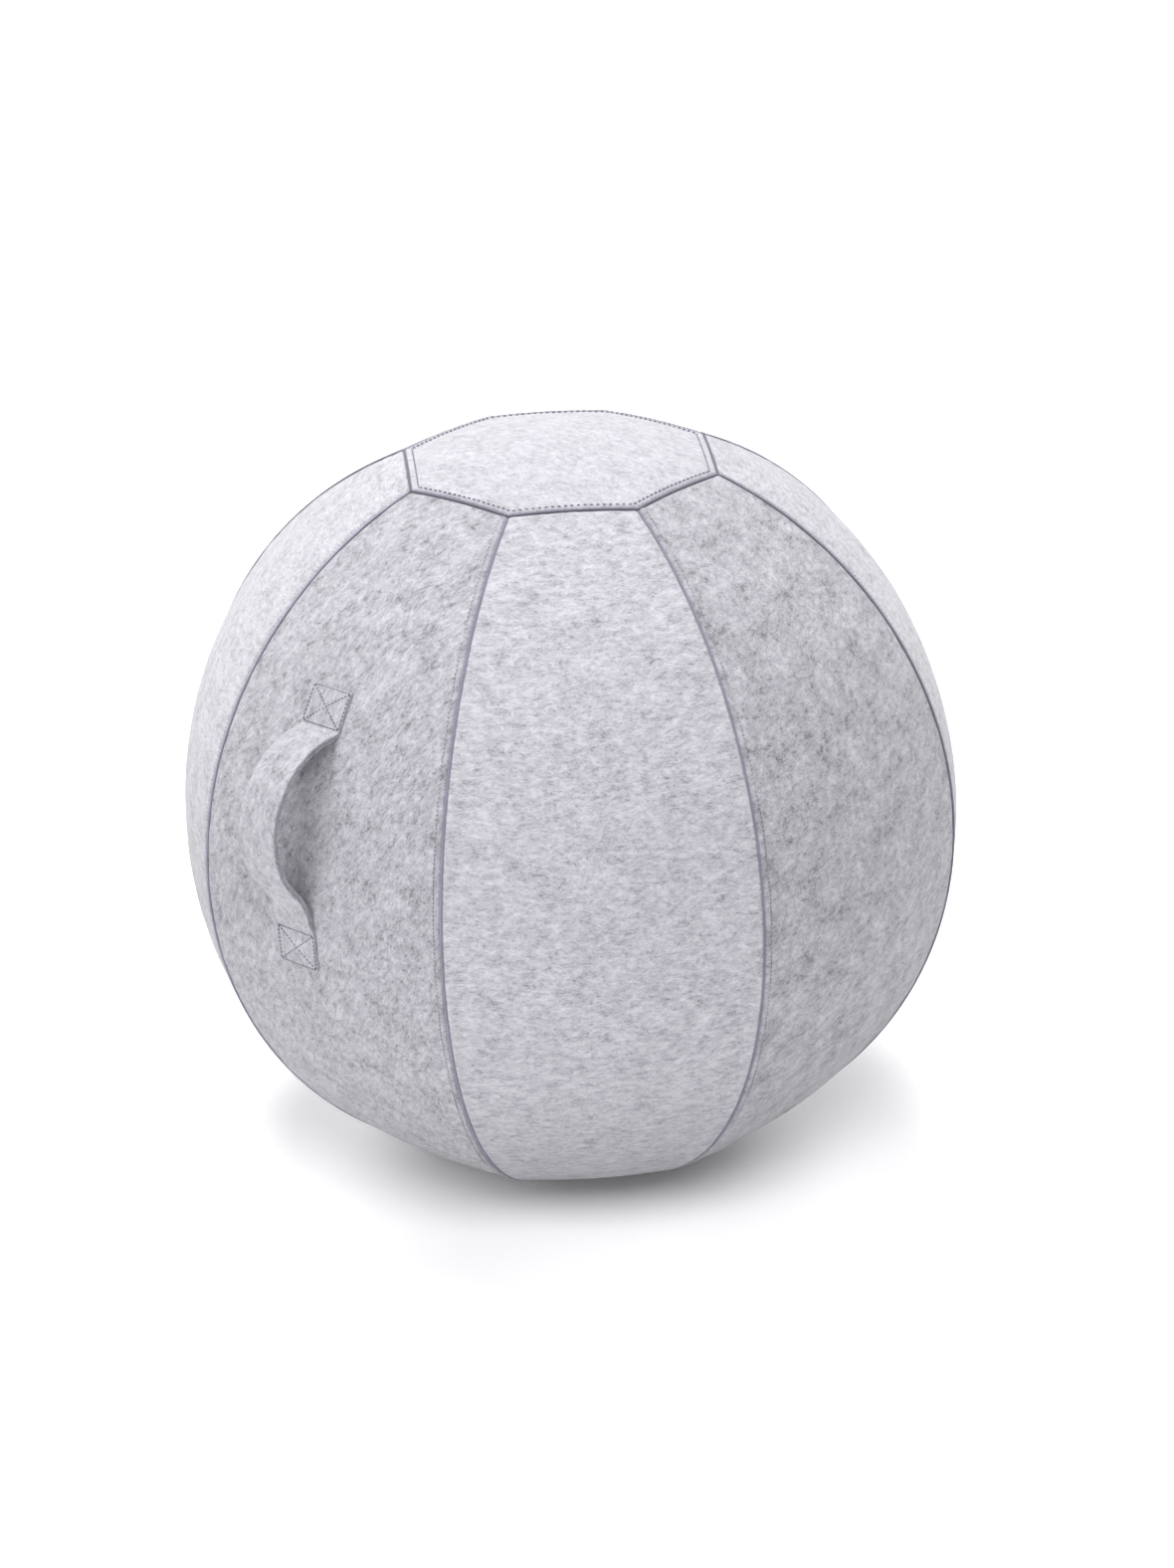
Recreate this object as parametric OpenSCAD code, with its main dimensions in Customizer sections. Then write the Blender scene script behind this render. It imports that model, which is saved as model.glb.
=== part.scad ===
// Exercise ball for sitting: an inflated inner ball in a zipped felt cover of eight gores,
// an octagonal top panel and an octagonal base panel, with one felt carrying handle.
// The origin is on the floor, in the middle of the contact patch. +Z is up, and the handle is on the -Y side.

/* [Cover] */
// Diameter over the seams at mid height
ball_d = 650; // [600:10:700]
// How far the middle of each gore lies inside the seam circle
gore_dip = 8; // [6:0.5:10]
// Width of the top and base panels across their flats
panel_across = 244; // [220:2:260]
// Height of the top panel's crown above the middle of its edges
panel_crown = 15.6; // [12:0.2:18]
// Diameter of the flat patch that stands on the floor
patch_d = 126; // [100:2:140]
// Thickness of the felt
felt_t = 3; // [2:0.25:4]
// Width of a seam's line of stitches
seam_w = 2.2; // [1.5:0.1:3]
// How far a line of stitches stands proud of the felt
seam_proud = 1.1; // [0.5:0.1:1.5]

/* [Handle] */
// Width of the strap
strap_w = 38; // [30:1:42]
// Thickness of the doubled strap
strap_t = 5; // [4:0.5:6]
// Turn of the handle about the gore's own axis, away from the middle of the gore
handle_turn = -1.4; // [-2:0.05:2]
// Elevation of the strap's upper root, seen from the middle of the ball
root_up_el = 28.5; // [27:0.5:30]
// Elevation of the strap's lower root
root_low_el = -1; // [-3:0.5:1]
// Length of each sewn end of the strap
pad_len = 32; // [25:1:35]
// Width of each sewn end
pad_w = 40; // [38:1:44]
// Thickness of a sewn end, pressed flat by its stitches
pad_t = 3; // [2.5:0.25:4]
// Radius of the upper root's bend
root_up_r = 8; // [7:1:16]
// Radius of the arch that the hand holds
arch_r = 68; // [66:0.5:70]
// Radius of the lower root's bend
root_low_r = 62; // [56:1:70]

/* [Zip] */
// Elevation of the zip's closed end, seen from the seam's own centre
zip_top_el = 12; // [0:1:14]
// Elevation of the zip's open end
zip_end_el = -62; // [-62:1:-40]
// Width of the slot in the felt
slot_w = 12; // [11.6:0.2:14]
// Width of one row of teeth
row_w = 2.85; // [2.7:0.05:2.9]
// Thickness of the rows of teeth
row_t = 2.6; // [2.2:0.1:2.8]
// Length of the slider
slider_len = 14; // [12:1:16]

/* [Inner ball] */
// Wall of the inner ball
wall_t = 1.2; // [1:0.1:2]
// Bore of the valve seat
valve_bore = 8; // [7:0.5:9]
// Elevation of the valve
valve_el = -20; // [-30:1:-10]

/* [Hidden] */
$fn = 96;
fine = 180;

felt_color = [0.77, 0.77, 0.80];
thread_color = [0.43, 0.42, 0.48];
tape_color = [0.60, 0.60, 0.64];
teeth_color = [0.50, 0.50, 0.54];
metal_color = [0.72, 0.72, 0.74];
inner_color = [0.62, 0.65, 0.70];
plug_color = [0.93, 0.93, 0.92];

// The cover's plan: gores of equal width, joined at seams halfway between their middles.
gores = 8;
gore_turn = 360 / gores;
half_turn = gore_turn / 2;
seam_r = ball_d / 2;
gore_r = seam_r - gore_dip;
panel_a = panel_across / 2;

// A gore's surface is a circle of gore_r, turned about an upright axis that lies axis_back behind
// the ball's own axis, so that the gore is flatter across than a sphere and meets its neighbours at seam_r.
axis_back = (seam_r * seam_r - gore_r * gore_r) / (2 * (gore_r - seam_r * cos(half_turn)));
edge_z = sqrt(gore_r * gore_r - panel_a * panel_a);

// Where a seam reaches the corner of the top panel, and the circle that the seam follows.
corner_r = panel_a / cos(half_turn);
corner_reach = norm([panel_a + axis_back, panel_a * tan(half_turn)]) - axis_back;
corner_z = sqrt(gore_r * gore_r - corner_reach * corner_reach);
seam_arc_x = (seam_r * seam_r - corner_r * corner_r - corner_z * corner_z) / (2 * (seam_r - corner_r));
seam_arc_r = seam_r - seam_arc_x;
corner_el = atan2(corner_z, corner_r - seam_arc_x);

// The top and base panels are parts of a sphere, and the base is cut off flat at the floor.
crown_r = (panel_a * panel_a + panel_crown * panel_crown) / (2 * panel_crown);
crown_z = edge_z + panel_crown - crown_r;
centre_z = sqrt(crown_r * crown_r - patch_d * patch_d / 4) + crown_z;

// A length past everything, and a turn past a gore's edges.
far = ball_d;
skin_turn = 20;

// The seam lines sink into the felt by a third of its thickness.
seam_sink = felt_t / 3;
seam_end_el = corner_el - 0.5;

// The handle's strap runs along three arcs that touch each other and the felt. The upper end of the arch,
// beyond neck_a, bends with the upper root. parting_turn keeps the moving part of the arch clear of its ends.
handle_az = 0;
strap_mid_r = gore_r + strap_t / 2;
root_up_c = (strap_mid_r + root_up_r) * [cos(root_up_el), sin(root_up_el)];
root_low_c = (strap_mid_r + root_low_r) * [cos(root_low_el), sin(root_low_el)];
arch_c = circles_meet(root_low_c, root_low_r + arch_r, root_up_c, root_up_r + arch_r);
arch_up_a = direction(root_up_c - arch_c);
arch_low_a = direction(root_low_c - arch_c);
neck_a = 70;
parting_turn = 0.03;
pad_turn = pad_len / gore_r * 180 / PI;
stitch_w = 1;
stitch_proud = 0.6;
stitch_inset = 1.2;

// The zip follows the seam between gores 5 and 6.
zip_gore = 5;
zip_az = half_turn + (zip_gore - 1) * gore_turn;
zip_depth = 2.75;
zip_mid_r = seam_arc_r - felt_t - zip_depth;
tape_t = 0.8;
tape_reach = 14;
slot_margin = turn_of(8);
tape_margin = turn_of(14);
stop_len = 2;
stop_w = 1.7;
stop_t = 3;
bottom_stop_len = 3;
bottom_stop_gap = 0.1;
row_gap = 0.15;
clearance = 0.4;

// The slider is two curved plates with side flanges, joined by a post, with a bridge for the pull.
slider_half_w = 5.2;
plate_t = 1.25;
flange_w = 1;
flange_gap = 1.6;
channel_half_t = row_t / 2 + clearance;
slider_top_r = zip_mid_r + channel_half_t + plate_t;
slider_front_el = zip_top_el - turn_of(stop_len + clearance);
slider_back_el = slider_front_el - turn_of(slider_len);
slider_mid_el = (slider_front_el + slider_back_el) / 2;
post_r = 1.3;
post_inset = 0.6;
post_el = slider_front_el - turn_of(post_r + post_inset);
teeth_top_el = post_el - turn_of(post_r + clearance);
bridge_w = 2;
bridge_len = 10;
bridge_post = 1.5;
bridge_gap = 2.2;
bridge_t = 1.2;
pin_r = 0.7;
pull_r = slider_top_r + bridge_gap / 2;
arm_w = 1.3;
arm_in = bridge_w / 2 + clearance;
arm_half_t = 0.6;
eye_r = 0.9;
tab_start = 6.5;
tab_end = 16.5;
tab_half_w = 3.2;
tab_t = 1.4;
tab_hole_r = 1.3;

// The inner ball is a circle turned about the ball's axis with a small flat at each pole.
pole_r = 9;
side_gap = 1.5;
floor_gap = 0.3;
inner_r = gore_r - felt_t - pole_r - side_gap;
inner_floor = centre_z - felt_t - floor_gap;
seat_r = 6.5;
seat_len = 14;
seat_flange_r = 14;
seat_flange_t = 1.2;
seat_flange_gap = 0.5;
plug_head_r = 9;
plug_head_t = 1.3;
plug_lift = 0.1;
plug_len = 12;
plug_play = 0.05;
plug_taper = 0.4;

function turn_of(length) = length / zip_mid_r * 180 / PI;
function direction(v) = atan2(v.y, v.x);
function seam_az(i) = half_turn + (i - 1) * gore_turn;
function gore_az(i) = (i - 1) * gore_turn;

// The point at distance a from p and b from q that lies to the left of the way from p to q.
function circles_meet(p, a, q, b) =
    let (d = norm(q - p), u = (q - p) / d)
    let (s = (d * d + a * a - b * b) / (2 * d), h = sqrt(a * a - s * s))
    p + s * u + h * [-u.y, u.x];

// A frame whose X points outwards at azimuth az, counted from -Y towards +X, at the ball's middle height.
module facing(az) {
    rotate([0, 0, az - 90])
        translate([0, 0, centre_z])
            children();
}

// A frame in the upright plane of a seam: X outwards, Y up, Z across, with its origin at the seam's own centre.
module in_seam_plane(az) {
    facing(az)
        translate([seam_arc_x, 0, 0])
            rotate([90, 0, 0])
                children();
}

// The same for the handle, with its origin at the middle of the gore's circle.
module in_handle_plane() {
    facing(handle_az)
        translate([-axis_back, 0, 0])
            rotate([0, 0, handle_turn])
                translate([axis_back, 0, 0])
                    rotate([90, 0, 0])
                        children();
}

// A curved bar about c, from radius r0 to r1, from angle a0 to a1, and from z0 to z1 across.
module arc_bar(r0, r1, a0, a1, z0, z1, c = [0, 0]) {
    translate([c.x, c.y, 0])
        rotate([0, 0, a0])
            rotate_extrude(angle = a1 - a0)
                translate([r0, z0])
                    square([r1 - r0, z1 - z0]);
}

// A wedge with its point at the origin, from elevation a0 to a1, as wide as w across.
module sector(a0, a1, w) {
    am = (a0 + a1) / 2;
    linear_extrude(w, center = true)
        polygon([[0, 0], far * [cos(a0), sin(a0)], far * [cos(am), sin(am)], far * [cos(a1), sin(a1)]]);
}

// A skin along the gore's surface, from r0 to r1, in the frame of facing().
module gore_skin(r0, r1) {
    translate([-axis_back, 0, 0])
        rotate([0, 0, -skin_turn])
            rotate_extrude(angle = 2 * skin_turn)
                difference() {
                    translate([axis_back, 0]) circle(r1, $fn = fine);
                    translate([axis_back, 0]) circle(r0, $fn = fine);
                    translate([-far, -far]) square([far + axis_back, 2 * far]);
                }
}

module zip_slot() {
    in_seam_plane(zip_az)
        sector(zip_end_el - slot_margin, zip_top_el + slot_margin, slot_w);
}

module gore_panel(i) {
    near = panel_a * [1, tan(half_turn)];
    beyond = far * [1, tan(half_turn)];
    color(felt_color)
        difference() {
            facing(gore_az(i))
                intersection() {
                    gore_skin(gore_r - felt_t, gore_r);
                    linear_extrude(2 * far, center = true)
                        polygon([[near.x, -near.y], [beyond.x, -beyond.y], beyond, near]);
                }
            if (i == zip_gore || i == zip_gore + 1) zip_slot();
        }
}

module octagon(a, h) {
    rotate([0, 0, half_turn])
        cylinder(h, r = a / cos(half_turn), $fn = gores);
}

// The part of the crown's skin between radii r0 and r1 that covers the octagon from a0 to a1.
module crown_skin(r0, r1, a0, a1) {
    difference() {
        intersection() {
            sphere(r1);
            octagon(a1, far);
        }
        sphere(r0);
        if (a0 > 0) octagon(a0, far);
    }
}

module top_panel() {
    color(felt_color)
        translate([0, 0, centre_z + crown_z])
            crown_skin(crown_r - felt_t, crown_r, 0, panel_a);
}

module base_panel() {
    color(felt_color)
        difference() {
            intersection() {
                translate([0, 0, centre_z - crown_z])
                    mirror([0, 0, 1])
                        intersection() {
                            sphere(crown_r);
                            octagon(panel_a, far);
                        }
                translate([-far, -far, 0]) cube([2 * far, 2 * far, far]);
            }
            intersection() {
                translate([0, 0, centre_z - crown_z]) sphere(crown_r - felt_t);
                translate([-far, -far, felt_t]) cube([2 * far, 2 * far, far]);
            }
        }
}

module gore_seam(i) {
    r0 = seam_arc_r - seam_sink;
    r1 = seam_arc_r + seam_proud;
    half_w = seam_w / 2;
    color(thread_color)
        in_seam_plane(seam_az(i))
            if (i == zip_gore) {
                arc_bar(r0, r1, -seam_end_el, zip_end_el - slot_margin, -half_w, half_w);
                arc_bar(r0, r1, zip_top_el + slot_margin, seam_end_el, -half_w, half_w);
            } else {
                arc_bar(r0, r1, -seam_end_el, seam_end_el, -half_w, half_w);
            }
}

module panel_seam() {
    crown_skin(crown_r - seam_sink, crown_r + seam_proud, panel_a - seam_w / 2, panel_a + seam_w / 2);
}

module top_seam() {
    color(thread_color)
        translate([0, 0, centre_z + crown_z])
            panel_seam();
}

module base_seam() {
    color(thread_color)
        translate([0, 0, centre_z - crown_z])
            mirror([0, 0, 1])
                panel_seam();
}

// A sewn end of the strap, which lies on the felt from elevation a0 to a1.
module handle_pad(a0, a1) {
    color(felt_color)
        intersection() {
            facing(handle_az) gore_skin(gore_r, gore_r + pad_t);
            in_handle_plane() sector(a0, a1, pad_w);
        }
}

// A box of stitches with a cross in it, along the pad's outer face.
module handle_stitch(a0, a1) {
    am = (a0 + a1) / 2;
    l = pad_len - 2 * stitch_inset;
    w = pad_w - 2 * stitch_inset;
    diagonal = atan2(l, w);
    color(thread_color)
        intersection() {
            facing(handle_az) gore_skin(gore_r + pad_t, gore_r + pad_t + stitch_proud);
            in_handle_plane()
                rotate([0, 0, am])
                    translate([gore_r, 0, 0])
                        rotate([0, 90, 0])
                            linear_extrude(2 * pad_t)
                                union() {
                                    difference() {
                                        square([w + stitch_w, l + stitch_w], center = true);
                                        square([w - stitch_w, l - stitch_w], center = true);
                                    }
                                    for (side = [-1, 1])
                                        rotate(side * diagonal)
                                            square([norm([l, w]), stitch_w], center = true);
                                }
        }
}

module strap_arc(c, r, a0, a1) {
    color(felt_color)
        in_handle_plane()
            arc_bar(r - strap_t / 2, r + strap_t / 2, a0, a1, -strap_w / 2, strap_w / 2, c);
}

module handle_root_upper() {
    strap_arc(root_up_c, root_up_r, root_up_el + 180, arch_up_a + 180);
}

module handle_root_lower() {
    strap_arc(root_low_c, root_low_r, arch_low_a + 180, root_low_el + 180);
}

module handle_neck() {
    strap_arc(arch_c, arch_r, neck_a, arch_up_a);
}

module handle_arch() {
    strap_arc(arch_c, arch_r, arch_low_a + parting_turn, neck_a - parting_turn);
}

module zip_tape(side) {
    z0 = row_gap + row_w;
    color(tape_color)
        in_seam_plane(zip_az)
            arc_bar(zip_mid_r - tape_t / 2, zip_mid_r + tape_t / 2,
                zip_end_el - tape_margin, zip_top_el + tape_margin,
                side > 0 ? z0 : -tape_reach, side > 0 ? tape_reach : -z0);
}

module zip_teeth(side) {
    z1 = row_gap + row_w;
    color(teeth_color)
        in_seam_plane(zip_az)
            arc_bar(zip_mid_r - row_t / 2, zip_mid_r + row_t / 2,
                zip_end_el + turn_of(bottom_stop_len), teeth_top_el,
                side > 0 ? row_gap : -z1, side > 0 ? z1 : -row_gap);
}

module zip_top_stop(side) {
    z1 = row_gap + row_w;
    z0 = z1 - stop_w;
    color(metal_color)
        in_seam_plane(zip_az)
            arc_bar(zip_mid_r - stop_t / 2, zip_mid_r + stop_t / 2,
                zip_top_el - turn_of(stop_len), zip_top_el,
                side > 0 ? z0 : -z1, side > 0 ? z1 : -z0);
}

module zip_bottom_stop() {
    z1 = row_gap + row_w;
    color(metal_color)
        in_seam_plane(zip_az)
            arc_bar(zip_mid_r - stop_t / 2, zip_mid_r + stop_t / 2,
                zip_end_el, zip_end_el + turn_of(bottom_stop_len - bottom_stop_gap), -z1, z1);
}

module slider_bar(r0, r1, half_w, overrun = 0) {
    arc_bar(r0, r1, slider_back_el - overrun, slider_front_el + overrun, -half_w, half_w);
}

module zip_slider() {
    up = zip_mid_r + channel_half_t;
    down = zip_mid_r - channel_half_t;
    bridge_out = slider_top_r + bridge_gap;
    bridge_turn = turn_of(bridge_len / 2);
    window_turn = bridge_turn - turn_of(bridge_post);
    overrun = 1;
    color(metal_color)
        in_seam_plane(zip_az)
            union() {
                difference() {
                    union() {
                        slider_bar(down - plate_t, up + plate_t, slider_half_w);
                        arc_bar(slider_top_r - plate_t / 2, bridge_out + bridge_t,
                            slider_mid_el - bridge_turn, slider_mid_el + bridge_turn,
                            -bridge_w / 2, bridge_w / 2);
                    }
                    slider_bar(down, up, slider_half_w - flange_w, overrun);
                    slider_bar(zip_mid_r - flange_gap / 2, zip_mid_r + flange_gap / 2,
                        2 * slider_half_w, overrun);
                    arc_bar(slider_top_r, bridge_out,
                        slider_mid_el - window_turn, slider_mid_el + window_turn, -bridge_w, bridge_w);
                }
                rotate([0, 0, post_el])
                    rotate([0, 90, 0])
                        translate([0, 0, down - plate_t / 2])
                            cylinder(2 * channel_half_t + plate_t, r = post_r);
            }
}

module zip_pull() {
    color(metal_color)
        in_seam_plane(zip_az)
            rotate([0, 0, slider_mid_el])
                translate([pull_r, 0, 0])
                    union() {
                        cylinder(2 * (arm_in + arm_w), r = pin_r, center = true);
                        for (side = [-1, 1])
                            translate([0, 0, side > 0 ? arm_in : -arm_in - arm_w]) {
                                cylinder(arm_w, r = eye_r);
                                translate([-arm_half_t, -tab_start - 1, 0])
                                    cube([2 * arm_half_t, tab_start + 1, arm_w]);
                            }
                        difference() {
                            union() {
                                translate([-tab_t / 2, tab_half_w - tab_end, -tab_half_w])
                                    cube([tab_t, tab_end - tab_start - tab_half_w, 2 * tab_half_w]);
                                translate([0, tab_half_w - tab_end, 0])
                                    rotate([0, 90, 0])
                                        cylinder(tab_t, r = tab_half_w, center = true);
                            }
                            translate([0, tab_half_w - tab_end, 0])
                                rotate([0, 90, 0])
                                    cylinder(2 * tab_t, r = tab_hole_r, center = true);
                        }
                    }
}

// Half of the inner ball's outline, with its circle of radius r and its underside at height -low.
module inner_outline(r, low) {
    intersection() {
        union() {
            intersection() {
                translate([pole_r, 0]) circle(r, $fn = fine);
                translate([pole_r, -far]) square([far, 2 * far]);
            }
            translate([0, -r]) square([pole_r, 2 * r]);
        }
        translate([0, -low]) square([far, far + low]);
    }
}

module on_valve_axis() {
    facing(zip_az)
        translate([pole_r, 0, 0])
            rotate([0, 90 - valve_el, 0])
                children();
}

module inner_ball() {
    color(inner_color)
        difference() {
            translate([0, 0, centre_z])
                rotate_extrude()
                    difference() {
                        inner_outline(inner_r, inner_floor);
                        inner_outline(inner_r - wall_t, inner_floor - wall_t);
                    }
            on_valve_axis()
                translate([0, 0, inner_r - 3 * wall_t])
                    cylinder(6 * wall_t, r = seat_r);
        }
}

module valve_seat() {
    color(plug_color)
        on_valve_axis()
            difference() {
                union() {
                    translate([0, 0, inner_r - seat_len])
                        cylinder(seat_len, r = seat_r);
                    translate([0, 0, inner_r - wall_t - seat_flange_t - seat_flange_gap])
                        cylinder(seat_flange_t, r = seat_flange_r);
                }
                translate([0, 0, inner_r - 2 * seat_len])
                    cylinder(3 * seat_len, r = valve_bore / 2);
            }
}

module valve_plug() {
    stem_r = valve_bore / 2 - plug_play;
    color(plug_color)
        on_valve_axis()
            union() {
                translate([0, 0, inner_r + plug_lift])
                    cylinder(plug_head_t, r = plug_head_r);
                translate([0, 0, inner_r + plug_lift - plug_len])
                    cylinder(plug_len, r1 = stem_r - plug_taper, r2 = stem_r);
            }
}

gore_panel(1);  // gore_panel_1
gore_panel(2);  // gore_panel_2
gore_panel(3);  // gore_panel_3
gore_panel(4);  // gore_panel_4
gore_panel(5);  // gore_panel_5
gore_panel(6);  // gore_panel_6
gore_panel(7);  // gore_panel_7
gore_panel(8);  // gore_panel_8
top_panel();
base_panel();
gore_seam(1);  // gore_seam_1
gore_seam(2);  // gore_seam_2
gore_seam(3);  // gore_seam_3
gore_seam(4);  // gore_seam_4
gore_seam(5);  // gore_seam_5
gore_seam(6);  // gore_seam_6
gore_seam(7);  // gore_seam_7
gore_seam(8);  // gore_seam_8
top_seam();
base_seam();
handle_pad(root_up_el, root_up_el + pad_turn);  // handle_pad_upper
handle_pad(root_low_el - pad_turn, root_low_el);  // handle_pad_lower
handle_stitch(root_up_el, root_up_el + pad_turn);  // handle_stitch_upper
handle_stitch(root_low_el - pad_turn, root_low_el);  // handle_stitch_lower
handle_root_upper();
handle_root_lower();
handle_neck();
handle_arch();
zip_tape(-1);  // zip_tape_left
zip_tape(1);  // zip_tape_right
zip_teeth(-1);  // zip_teeth_left
zip_teeth(1);  // zip_teeth_right
zip_top_stop(-1);  // zip_top_stop_left
zip_top_stop(1);  // zip_top_stop_right
zip_bottom_stop();
zip_slider();
zip_pull();
inner_ball();
valve_seat();
valve_plug();
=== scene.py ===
"""Looks for the felt-covered exercise ball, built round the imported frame. Metres, +Z up, handle on -Y."""
import math

import bmesh
import bpy
import numpy as np
from mathutils import Matrix, Vector, noise


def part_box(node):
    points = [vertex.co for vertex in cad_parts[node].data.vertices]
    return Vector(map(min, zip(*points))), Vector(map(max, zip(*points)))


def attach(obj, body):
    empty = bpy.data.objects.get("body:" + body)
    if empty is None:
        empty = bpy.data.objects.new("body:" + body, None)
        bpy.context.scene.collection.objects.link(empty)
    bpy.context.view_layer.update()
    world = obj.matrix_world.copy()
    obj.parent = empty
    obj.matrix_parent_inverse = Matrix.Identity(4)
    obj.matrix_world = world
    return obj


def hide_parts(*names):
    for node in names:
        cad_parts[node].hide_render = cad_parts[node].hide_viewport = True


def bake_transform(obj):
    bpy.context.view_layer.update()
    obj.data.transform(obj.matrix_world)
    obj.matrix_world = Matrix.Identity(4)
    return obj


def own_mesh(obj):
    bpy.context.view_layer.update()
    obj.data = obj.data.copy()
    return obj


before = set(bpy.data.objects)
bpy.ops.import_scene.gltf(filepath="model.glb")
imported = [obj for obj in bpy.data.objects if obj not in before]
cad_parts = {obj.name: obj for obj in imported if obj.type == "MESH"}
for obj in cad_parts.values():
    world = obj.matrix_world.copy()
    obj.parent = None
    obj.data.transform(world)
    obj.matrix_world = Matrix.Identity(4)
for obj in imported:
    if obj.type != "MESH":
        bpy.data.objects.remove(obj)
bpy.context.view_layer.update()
MM = 0.001
RAD = math.pi / 180

# -------------------------------- dimensions
# Read from the frame.
gore_low, gore_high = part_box("gore_panel_3")
panel_low, panel_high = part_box("top_panel")
CENTRE_Z = (gore_low.z + gore_high.z) / 2
GORE_R = gore_high.x
PANEL_A = panel_high.x
TOP_Z = panel_high.z - CENTRE_Z

# The cover, as in the CAD model.
GORES = 8
HALF = math.pi / GORES
GORE_DIP = 8 * MM
SEAM_R = GORE_R + GORE_DIP
FELT = 3 * MM
AXIS_BACK = (SEAM_R**2 - GORE_R**2) / (2 * (GORE_R - SEAM_R * math.cos(HALF)))
EDGE_Z = math.sqrt(GORE_R**2 - PANEL_A**2)
CROWN = TOP_Z - EDGE_Z
CROWN_R = (PANEL_A**2 + CROWN**2) / (2 * CROWN)
CORNER_R = PANEL_A / math.cos(HALF)
CORNER_REACH = math.hypot(PANEL_A + AXIS_BACK, PANEL_A * math.tan(HALF)) - AXIS_BACK
CORNER_Z = math.sqrt(GORE_R**2 - CORNER_REACH**2)
SEAM_ARC_X = (SEAM_R**2 - CORNER_R**2 - CORNER_Z**2) / (2 * (SEAM_R - CORNER_R))
SEAM_ARC_R = SEAM_R - SEAM_ARC_X

# Seams: a groove with a dark line of stitches, and a raised band on one side that ends in a dotted row.
BAND_W = 5.6 * MM
BAND_H = 0.9 * MM
GROOVE_W = 1.5 * MM
GROOVE_D = 1.5 * MM
ROW_AT = 6.2 * MM
SHADE_W = 6.5 * MM

# The handle's strap, as in the CAD model.
HANDLE_TURN = -1.4 * RAD
STRAP_W = 38 * MM
STRAP_T = 5 * MM
PAD_T = 3 * MM
PAD_W = 40 * MM
PAD_LEN = 32 * MM
ROOT_UP_EL = 28.5 * RAD
ROOT_LOW_EL = -1.0 * RAD
ROOT_UP_R = 8 * MM
ARCH_R = 68 * MM
ROOT_LOW_R = 62 * MM

# The zip, as in the CAD model.
ZIP_SEAM = 5
ZIP_R = SEAM_ARC_R - FELT - 2.75 * MM
ZIP_TOP = 12 * RAD
ZIP_END = -62 * RAD
SLOT_HALF = 6 * MM
SLOT_MARGIN = 8 * MM
SLOT_LOW, SLOT_HIGH = ZIP_END - SLOT_MARGIN / ZIP_R, ZIP_TOP + SLOT_MARGIN / ZIP_R
TAPE_T = 0.8 * MM
TAPE_IN = 3 * MM
TAPE_OUT = 14 * MM
TAPE_MARGIN = 14 * MM
TOOTH_PITCH = 2.0 * MM
TEETH_TOP = 7.3 * MM
# The slider's front end at its lowest place, and the stretch behind it that the post takes.
SLIDER_LOW = -58.75 * RAD
THROAT = 4.6 * MM
THROAT_OUT = 3.95 * MM

# -------------------------------- camera
CAMERA_AZ = 40.66 * RAD
CAMERA_EL = 23.34 * RAD
CAMERA_ROLL = 1.73 * RAD
CAMERA_DISTANCE = 3.618
CAMERA_LENS = 100.3
CAMERA_SHIFT = (0.0112, 0.0069)
centre = Vector((0, 0, CENTRE_Z))
to_camera = Vector((math.sin(CAMERA_AZ), -math.cos(CAMERA_AZ), 0))
to_right = Vector((math.cos(CAMERA_AZ), math.sin(CAMERA_AZ), 0))
UP = Vector((0, 0, 1))


def rig(right, towards, up):
    """A point so far right of the ball's foot, towards the camera and up, as the camera sees it."""
    return to_right * right + to_camera * towards + UP * up


def aim(obj, place, target, roll=0.0):
    """Puts obj at place, looking along its own -Z at target."""
    back = (place - target).normalized()
    right = UP.cross(back).normalized()
    above = back.cross(right)
    rolled_up = above * math.cos(roll) + right * math.sin(roll)
    rolled_right = right * math.cos(roll) - above * math.sin(roll)
    turn = Matrix((rolled_right, rolled_up, back)).transposed().to_4x4()
    obj.matrix_world = Matrix.Translation(place) @ turn


def add_camera():
    data = bpy.data.cameras.new("camera")
    data.lens = CAMERA_LENS
    data.shift_x, data.shift_y = CAMERA_SHIFT
    data.clip_end = 60
    camera = bpy.data.objects.new("camera", data)
    bpy.context.scene.collection.objects.link(camera)
    away = to_camera * math.cos(CAMERA_EL) + UP * math.sin(CAMERA_EL)
    aim(camera, centre + away * CAMERA_DISTANCE, centre, CAMERA_ROLL)
    bpy.context.scene.camera = camera


add_camera()


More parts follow.
